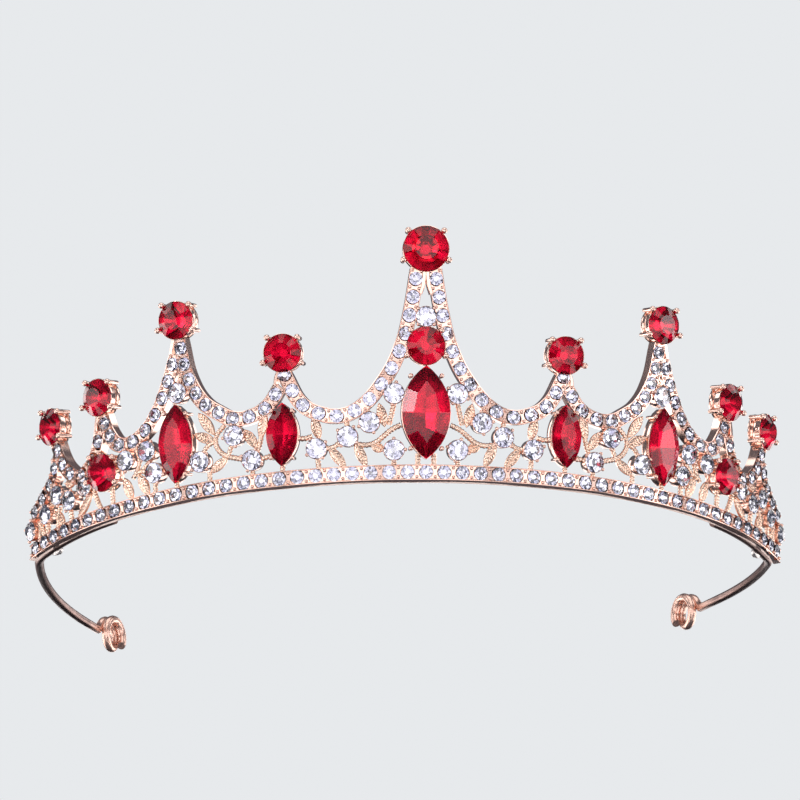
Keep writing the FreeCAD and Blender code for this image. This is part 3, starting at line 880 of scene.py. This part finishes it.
def makeVines():
    leaf = leafMaster()
    for name, paths in stems.items():
        parts = [milledStem(path) for path in paths]
        for (footRun, footHeight), (tipRun, tipHeight) in leaves[name]:
            span = hypot(tipRun - footRun, tipHeight - footHeight)
            way = atan2(tipHeight - footHeight, tipRun - footRun) - pi / 2
            middle = ((footRun + tipRun) / 2, (footHeight + tipHeight) / 2, scroll["leafOut"])
            size = Matrix.Diagonal((1, span / (scroll["leafLength"] - 0.2), 1, 1))
            parts += copied(leaf, [Matrix.Translation(middle) @ Matrix.Rotation(way, 4, "Z") @ size])
        vine = painted(bent(joined(name + "_left_casting", parts)), grainyGold)
        handed(mirrored(vine, name + "_right_casting"), "tiara", "rose_gold", name + "_right")
        handed(vine, "tiara", "rose_gold", name + "_left")
    putAway(leaf)
    print("scrollwork cast")


# Settings of the large stones

cupShape = {
    "front": 0.35,
    "rear": -2.4,
    "girdleOut": 0.45,
    "clawRadius": 0.42,
    "ballRadius": 0.6,
    "ballOut": 0.72,
    "clawAngles": (45, 135, 207, 333),
    "clawGap": 0.12,
    "clawFoot": 0.15,
    "sides": 40,
}


def spun(profile, sides):
    # a profile of (radius, out) points turned round the setting's axis
    piece = meshed(line([(radius, 0.0, out) for radius, out in profile], closed=True))
    bpy.ops.object.mode_set(mode="EDIT")
    bpy.ops.mesh.select_all(action="SELECT")
    bpy.ops.mesh.spin(steps=sides, angle=2 * pi, center=(0, 0, 0), axis=(0, 0, 1))
    bpy.ops.object.mode_set(mode="OBJECT")
    return tidied(piece)


def claw(x, y, rear, ballOut, postRadius, ballRadius):
    # a round post with a soft rear end and a ball pressed over the stone's edge
    post = started(bpy.ops.mesh.primitive_cylinder_add, vertices=12, radius=postRadius, depth=ballOut - rear,
                   location=(x, y, (ballOut + rear) / 2))
    bpy.ops.object.mode_set(mode="EDIT")
    bpy.ops.mesh.select_all(action="DESELECT")
    bpy.ops.object.mode_set(mode="OBJECT")
    for face in post.data.polygons:
        face.select = face.normal.z < -0.9
    bpy.ops.object.mode_set(mode="EDIT")
    bpy.ops.mesh.bevel(offset=postRadius * 0.6, segments=3, affect="EDGES")
    bpy.ops.object.mode_set(mode="OBJECT")
    ball = started(bpy.ops.mesh.primitive_uv_sphere_add, segments=16, ring_count=10, radius=ballRadius,
                   location=(x, y, ballOut))
    return [settled(post), settled(ball)]


def cupMaster(diameter):
    r = diameter / 2
    front = cupShape["front"]
    rear = cupShape["rear"]
    profile = [
        (r * 0.3, rear), (r - 0.25, rear), (r + 0.0, rear + 0.12), (r + 0.08, rear + 0.35),
        (r + 0.02, rear + 0.62), (r - 0.22, rear + 0.78), (r - 0.28, rear + 0.95), (r - 0.2, rear + 1.12),
        (r + 0.04, rear + 1.4), (r + 0.1, rear + 1.8), (r + 0.13, front - 0.35), (r + 0.16, front - 0.15),
        (r + 0.15, front), (r + 0.1, front + 0.05), (r + 0.03, front + 0.03), (r, front - 0.05),
        (r - 0.1, front - 0.25), (r - 0.9, -0.9), (r * 0.3, rear + 0.5),
    ]
    parts = [spun(profile, cupShape["sides"])]
    reach = r + cupShape["clawRadius"] + cupShape["clawGap"]
    for angle in cupShape["clawAngles"]:
        parts += claw(reach * cos(radians(angle)), reach * sin(radians(angle)), rear + cupShape["clawFoot"],
                      cupShape["ballOut"], cupShape["clawRadius"], cupShape["ballRadius"])
    cup = joined("cup", parts)
    bpy.ops.object.shade_smooth_by_angle(angle=radians(50))
    return painted(cup, gold)


def pieceName(name, piece):
    # the hand stays at the end of the name
    stem, hand = name.partition("_left")[:2]
    return f"{stem}_{piece}{hand}"


def setJewel(master, name, place, slot, node):
    piece = copied(master, [place])[0]
    piece.name = name
    piece.data.name = name
    if node.endswith("_left"):
        flipped = mirrored(piece, name.replace("_left", "_right"))
        handed(flipped, "tiara", slot, node.replace("_left", "_right"))
    handed(piece, "tiara", slot, node)


def makeRoundJewels():
    for diameter in sorted({jewel[1] for jewel in roundJewels}):
        cup = cupMaster(diameter)
        gem = roundGem(ruby, diameter, redGlass, redFoil)
        for index, (name, size, run, height) in enumerate(roundJewels):
            if size == diameter:
                setJewel(cup, pieceName(name, "claw_cup"), placed(run, height), "rose_gold",
                         pieceName(name, "cup"))
                turned = radians(ruby["turn"] * index)
                here = tipped(placed(run, height, cupShape["girdleOut"], turned), index, 1.0)
                setJewel(gem, pieceName(name, "brilliant"), here, "red_crystal", pieceName(name, "stone"))
        putAway(cup, gem)
    print("round jewels set")


ovalCup = {
    "rear": -2.0,
    "front": 0.1,
    "wall": 0.4,
    "inset": 0.28,
    "tipInset": 3.4,
    "girdleOut": 0.4,
    "clawRadius": 0.34,
    "ballRadius": 0.46,
    "ballOut": 0.72,
}


def ovalSetting(width, length, clawSpots):
    inset = ovalCup["inset"]
    outline = ovalPoints(width - 2 * inset, length - ovalCup["tipInset"] * inset, 16)
    piece = meshed(line(outline, closed=True))
    bpy.ops.object.mode_set(mode="EDIT")
    bpy.ops.mesh.select_all(action="SELECT")
    bpy.ops.transform.translate(value=(0, 0, ovalCup["rear"]))
    bpy.ops.mesh.extrude_region_move(
        TRANSFORM_OT_translate={"value": (0, 0, ovalCup["front"] - ovalCup["rear"])})
    bpy.ops.mesh.select_all(action="SELECT")
    bpy.ops.mesh.normals_make_consistent(inside=False)
    bpy.ops.object.mode_set(mode="OBJECT")
    wall = piece.modifiers.new("wall", "SOLIDIFY")
    wall.thickness = ovalCup["wall"]
    wall.offset = 1
    soft = piece.modifiers.new("soft", "BEVEL")
    soft.width = 0.08
    soft.segments = 2
    for modifier in (wall.name, soft.name):
        bpy.ops.object.modifier_apply(modifier=modifier)
    parts = [tidied(piece, angle=40)]
    for x, y in clawSpots:
        for side in (-1, 1):
            parts += claw(side * x, y, ovalCup["rear"], ovalCup["ballOut"], ovalCup["clawRadius"],
                          ovalCup["ballRadius"])
    setting = joined("setting", parts)
    bpy.ops.object.shade_smooth_by_angle(angle=radians(50))
    return painted(setting, gold)


def makeOvalJewels():
    for index, (name, width, length, run, height, clawSpots) in enumerate(ovalJewels):
        cup = ovalSetting(width, length, clawSpots)
        gem = ovalGem(width, length, redGlass, redFoil)
        setJewel(cup, pieceName(name, "claw_cup"), placed(run, height), "rose_gold", pieceName(name, "cup"))
        here = tipped(placed(run, height, ovalCup["girdleOut"]), index + 1, 1.0)
        setJewel(gem, pieceName(name, "navette"), here, "red_crystal", pieceName(name, "stone"))
        putAway(cup, gem)
    print("pointed ovals set")


# Accents: clear stones in thin collars

accent = {
    "diameter": 3.75,
    "girdleOut": 0.35,
    "rear": -2.0,
    "clawRadius": 0.36,
    "clawOut": 0.34,
    "clawReach": 0.24,
    "sides": 24,
    "cupTurn": 17,
}


def makeAccents():
    r = accent["diameter"] / 2
    profile = [
        (r - 1.1, accent["rear"]), (r + 0.0, accent["rear"]), (r + 0.1, accent["rear"] + 0.15),
        (r + 0.1, -0.6), (r + 0.14, 0.1), (r + 0.13, 0.22), (r + 0.08, 0.27), (r + 0.01, 0.22),
        (r - 0.1, -0.1), (r - 1.1, -1.3),
    ]
    parts = [spun(profile, accent["sides"])]
    for k in range(4):
        angle = radians(45 + 90 * k)
        reach = r + accent["clawReach"]
        bead = started(bpy.ops.mesh.primitive_uv_sphere_add, segments=10, ring_count=6,
                       radius=accent["clawRadius"],
                       location=(reach * cos(angle), reach * sin(angle), accent["clawOut"]))
        parts.append(settled(bead))
    collar = joined("collar", parts)
    bpy.ops.object.shade_smooth_by_angle(angle=radians(50))
    painted(collar, gold)
    gem = roundGem(brilliant, accent["diameter"], clearGlass, clearFoil)
    spots = [accentTop] + [(side * run, height) for run, height in accentSpots for side in (1, -1)]
    cups = copied(collar, [
        placed(run, height, 0, radians(accent["cupTurn"] * k)) for k, (run, height) in enumerate(spots)
    ])
    stones = copied(gem, [
        tipped(placed(run, height, accent["girdleOut"], sparkleSpin(k)), k, 2.0)
        for k, (run, height) in enumerate(spots)
    ])
    handed(joined("accent_collars", cups), "tiara", "rose_gold", "accent_cups")
    handed(joined("accent_brilliants", stones), "tiara", "clear_crystal", "accent_stones")
    putAway(collar, gem)
    print("accents set", len(spots))


# Wire arms

wire = {
    "radius": 0.9,
    "gap": 0.06,
    "rootStart": 64,
    "rootEnd": 86,
    "bend": (14, 27),
    "left": {"sweep": (85, 20), "straight": 9.0, "rise": 6.6},
    "right": {"sweep": (90, 26), "straight": 6.8, "rise": 3.15},
    "steps": 12,
    "footStep": 0.3,
    "eyeLead": 1.2,
    "eye": 3.0,
    "coilFrom": 152,
    "coilTurn": 560,
    "coilShift": (-0.2, 2.4),
    "coilSteps": 56,
    "highlightFrom": 6.4,
    "highlightOver": 2.0,
    "blendLength": 14,
}


def wireSeat(run):
    here = seat(run, 0, -(panel["depth"] + wire["radius"] + wire["gap"])).translation
    return Vector((here.x, here.y, wire["radius"] + wire["gap"]))


def wireRoute(hand):
    # centre line of one wire: soldered root, two bends, a straight run and the coiled eye
    rootStart, rootEnd, steps = wire["rootStart"], wire["rootEnd"], wire["steps"]
    spots = [wireSeat(rootStart + (rootEnd - rootStart) * k / steps) for k in range(steps + 1)]
    foot = spots[-1]
    ahead = (foot - wireSeat(rootEnd - 1)).normalized()
    free = [foot + ahead * wire["footStep"]]
    heading = atan2(ahead.y, ahead.x)
    for radius, turn in (wire["bend"], wire[hand]["sweep"]):
        middle = free[-1] + Vector((-sin(heading), cos(heading), 0)) * radius
        for k in range(1, steps + 1):
            now = heading + radians(turn) * k / steps
            free.append(middle + Vector((sin(now), -cos(now), 0)) * radius)
        heading += radians(turn)
    ahead = Vector((cos(heading), sin(heading), 0))
    end = free[-1] + ahead * wire[hand]["straight"]
    free.append(end - ahead * wire["eyeLead"])
    middle = end + ahead * wire["eye"]
    side = Vector((-ahead.y, ahead.x, 0))
    first, last = wire["coilShift"]
    for k in range(wire["coilSteps"] + 1):
        share = k / wire["coilSteps"]
        angle = radians(wire["coilFrom"] - wire["coilTurn"] * share)
        rim = ahead * cos(angle) + Vector((0, 0, sin(angle)))
        free.append(middle + rim * wire["eye"] + side * (first + (last - first) * share))
    tilt = Matrix.Rotation(radians(wire[hand]["rise"]), 4, "X")
    pivot = free[0]
    free = [pivot + tilt @ (spot - pivot) for spot in free]
    return spots + free, pivot, pivot + tilt @ (middle - pivot)


def makeWires():
    for hand in ("left", "right"):
        spots, pivot, eye = wireRoute(hand)
        curve = line([tuple(spot) for spot in spots])
        curve.data.bevel_depth = wire["radius"]
        curve.data.bevel_resolution = 4
        curve.data.use_fill_caps = True
        arm = tidied(meshed(curve), angle=60)
        # how much painted highlight each point of the wire gets: full at the eye, none along the arm, which
        # is painted dark as shade
        shade = arm.data.attributes.new("eye", "FLOAT", "POINT")
        for corner, mark in zip(arm.data.vertices, shade.data):
            far = (corner.co - eye).length
            mark.value = min(max((wire["highlightFrom"] - far) / wire["highlightOver"], 0), 1)
        arm.data.transform(Matrix.Scale(mm, 4))
        painted(arm, wireFinish)
        start = pivot * mm
        end = (pivot + (eye - pivot).normalized() * wire["blendLength"]) * mm
        if hand == "right":
            arm.data.transform(Matrix.Scale(-1, 4, (1, 0, 0)))
            arm.data.flip_normals()
            start.x *= -1
            end.x *= -1
        arm.name = f"spring_wire_{hand}"
        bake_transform(arm)
        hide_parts(f"wire_root_{hand}", f"wire_arm_{hand}")
    print("wires bent")


solder = {
    "fromEnd": 2.2,
    "size": (2.0, 1.15, 0.88),
}


def makeSolder():
    # a bead flooded over the wire where it leaves the band's end
    run = wire["rootEnd"] - solder["fromEnd"]
    here = seat(run, 0, -(panel["depth"] + 2 * wire["radius"] + wire["gap"]))
    here.translation.z = wire["radius"] + wire["gap"]
    bead = started(bpy.ops.mesh.primitive_uv_sphere_add, segments=24, ring_count=14, radius=1)
    bead.scale = solder["size"]
    settled(bead)
    for corner in bead.data.vertices:
        x, y, z = corner.co
        corner.co *= 1 + 0.07 * sin(3 * x + 1) * cos(4 * y) + 0.04 * sin(9 * z)  # a little lumpy
    bpy.ops.object.shade_smooth()
    bead.data.transform(Matrix.Scale(mm, 4) @ here)
    painted(bead, solderFinish)
    bead.name = "solder_pool_left"
    handed(mirrored(bead, "solder_pool_right"), "tiara", "bright_solder", "solder_bead_right")
    handed(bead, "tiara", "bright_solder", "solder_bead_left")
    print("solder flooded")


# Camera and light

studio = {
    "eye": (-0.0528, -0.55035, -0.2321),
    "look": (0.0799, 0.9084, 0.4105),
    "up": (-0.0078, -0.4112, 0.9115),
    "lens": 144.5,
    "floor": -0.9,
    "floorTones": ((0.80, 0.81, 0.83), (0.76, 0.78, 0.80)),
    "backdrop": (0.80, 0.82, 0.84),
    "around": (0.12, 0.125, 0.15),
    "centre": (0, 0.035, 0.02),
    # name: azimuth from the front towards +X, elevation, distance, width, height, watts, colour
    "lamps": {
        "key": (-57, 7.5, 0.9, 0.20, 0.12, 0.95, (1.0, 0.98, 0.99)),
        "kicker": (62, -2, 0.9, 0.16, 0.16, 0.25, (1.0, 0.98, 0.99)),
        "frontA": (-66, -11, 1.0, 0.36, 0.38, 0.95, (1.0, 0.98, 0.98)),
        "frontB": (-40, -13, 1.0, 0.36, 0.32, 0.74, (1.0, 0.98, 0.98)),
        "frontC": (-16, -14, 1.0, 0.34, 0.30, 0.66, (1.0, 0.98, 0.99)),
        "frontD": (8, -14, 1.0, 0.36, 0.30, 0.68, (1.0, 0.98, 0.99)),
        "frontE": (34, -13, 1.0, 0.36, 0.32, 0.74, (1.0, 0.98, 1.0)),
        "frontF": (60, -11, 1.0, 0.36, 0.38, 0.95, (1.0, 0.98, 1.0)),
        "frontG": (86, -8, 1.0, 0.34, 0.38, 1.00, (1.0, 0.98, 1.0)),
        "frontH": (-92, -8, 1.0, 0.34, 0.38, 1.00, (1.0, 0.98, 0.98)),
        "lensGlow": (-4, -36, 1.0, 0.90, 0.30, 2.00, (1.0, 0.97, 0.97)),
        "canopy": (0, 33, 0.9, 1.00, 0.28, 1.9, (1.0, 0.99, 0.98)),
        "sideLeft": (-118, -8, 1.0, 0.36, 0.44, 1.7, (1.0, 0.98, 0.97)),
        "sideRight": (112, -8, 1.0, 0.36, 0.44, 1.7, (1.0, 0.98, 0.97)),
        "low": (4, -62, 1.0, 0.80, 0.22, 0.80, (1.0, 0.97, 0.95)),
        "sky": (0, 58, 0.9, 0.90, 0.36, 1.5, (1.0, 0.99, 0.98)),
        "top": (0, 82, 0.9, 0.9, 0.35, 1.6, (1.0, 1.0, 1.0)),
        "lowLeft": (-88, -38, 1.0, 0.44, 0.36, 1.2, (1.0, 0.98, 0.97)),
        "lowRight": (88, -38, 1.0, 0.44, 0.36, 1.2, (1.0, 0.98, 0.97)),
        "highLeft": (-88, 36, 1.0, 0.44, 0.36, 1.2, (1.0, 0.99, 0.98)),
        "highRight": (88, 36, 1.0, 0.44, 0.36, 1.2, (1.0, 0.99, 0.98)),
        "endLeft": (-136, -12, 1.0, 0.36, 0.44, 1.5, (1.0, 0.98, 0.97)),
        "endRight": (134, -12, 1.0, 0.36, 0.44, 1.5, (1.0, 0.98, 0.97)),
        "rimLeft": (-140, 22, 1.0, 0.3, 0.6, 1.2, (1.0, 0.97, 0.95)),
        "rimRight": (142, 18, 1.0, 0.3, 0.6, 1.2, (1.0, 0.97, 0.95)),
        "back": (178, 4, 1.2, 0.6, 0.3, 1.1, (1.0, 0.99, 0.98)),
    },
}


def makeCamera():
    camera = bpy.data.objects.new("camera", bpy.data.cameras.new("camera"))
    bpy.context.collection.objects.link(camera)
    look = Vector(studio["look"]).normalized()
    right = look.cross(Vector(studio["up"])).normalized()
    up = right.cross(look)
    turned = Matrix((right, up, -look)).transposed().to_4x4()
    camera.matrix_world = Matrix.Translation(studio["eye"]) @ turned
    camera.data.lens = studio["lens"]
    camera.data.clip_start = 0.01
    bpy.context.scene.camera = camera


def makeLamps():
    centre = Vector(studio["centre"])
    for name, (azimuth, elevation, distance, width, height, watts, colour) in studio["lamps"].items():
        flat = cos(radians(elevation))
        away = Vector((sin(radians(azimuth)) * flat, -cos(radians(azimuth)) * flat, sin(radians(elevation))))
        lamp = bpy.data.lights.new(name, "AREA")
        lamp.shape = "RECTANGLE"
        lamp.size = width
        lamp.size_y = height
        lamp.energy = watts
        lamp.color = colour
        item = bpy.data.objects.new(name, lamp)
        bpy.context.collection.objects.link(item)
        facing = away.to_track_quat("Z", "Y").to_matrix().to_4x4()
        item.matrix_world = Matrix.Translation(centre + away * distance) @ facing
        item.visible_camera = False


def makeStage():
    floor = started(bpy.ops.mesh.primitive_plane_add, size=14, location=(0, 0, studio["floor"]))
    floor.name = "studio_floor"
    look = Finish("pale_floor")
    direct = look.node("ShaderNodeLightPath", output="Is Camera Ray")
    tone = look.mixed(look.noise(400), *studio["floorTones"])
    lit = look.node("ShaderNodeEmission", None, {"Color": tone})
    dim = look.node("ShaderNodeBsdfDiffuse", None, {"Color": (*studio["around"], 1.0)})
    painted(floor, look.done(look.node("ShaderNodeMixShader", None, {0: direct, 1: dim, 2: lit})))
    world = bpy.data.worlds.new("studio")
    bpy.context.scene.world = world
    air = Finish("air", world)
    direct = air.node("ShaderNodeLightPath", output="Is Camera Ray")
    dim = air.node("ShaderNodeBackground", None, {"Color": (*studio["around"], 1.0)})
    lit = air.node("ShaderNodeBackground", None, {"Color": (*studio["backdrop"], 1.0)})
    air.done(air.node("ShaderNodeMixShader", None, {0: direct, 1: dim, 2: lit}), "ShaderNodeOutputWorld")
    bpy.context.scene.view_settings.view_transform = "Standard"


makeCamera()
makeLamps()
makeStage()
print("studio ready")
makeBand()
makeRails()
makeVines()
makeRoundJewels()
makeOvalJewels()
makeAccents()
makeWires()
makeSolder()
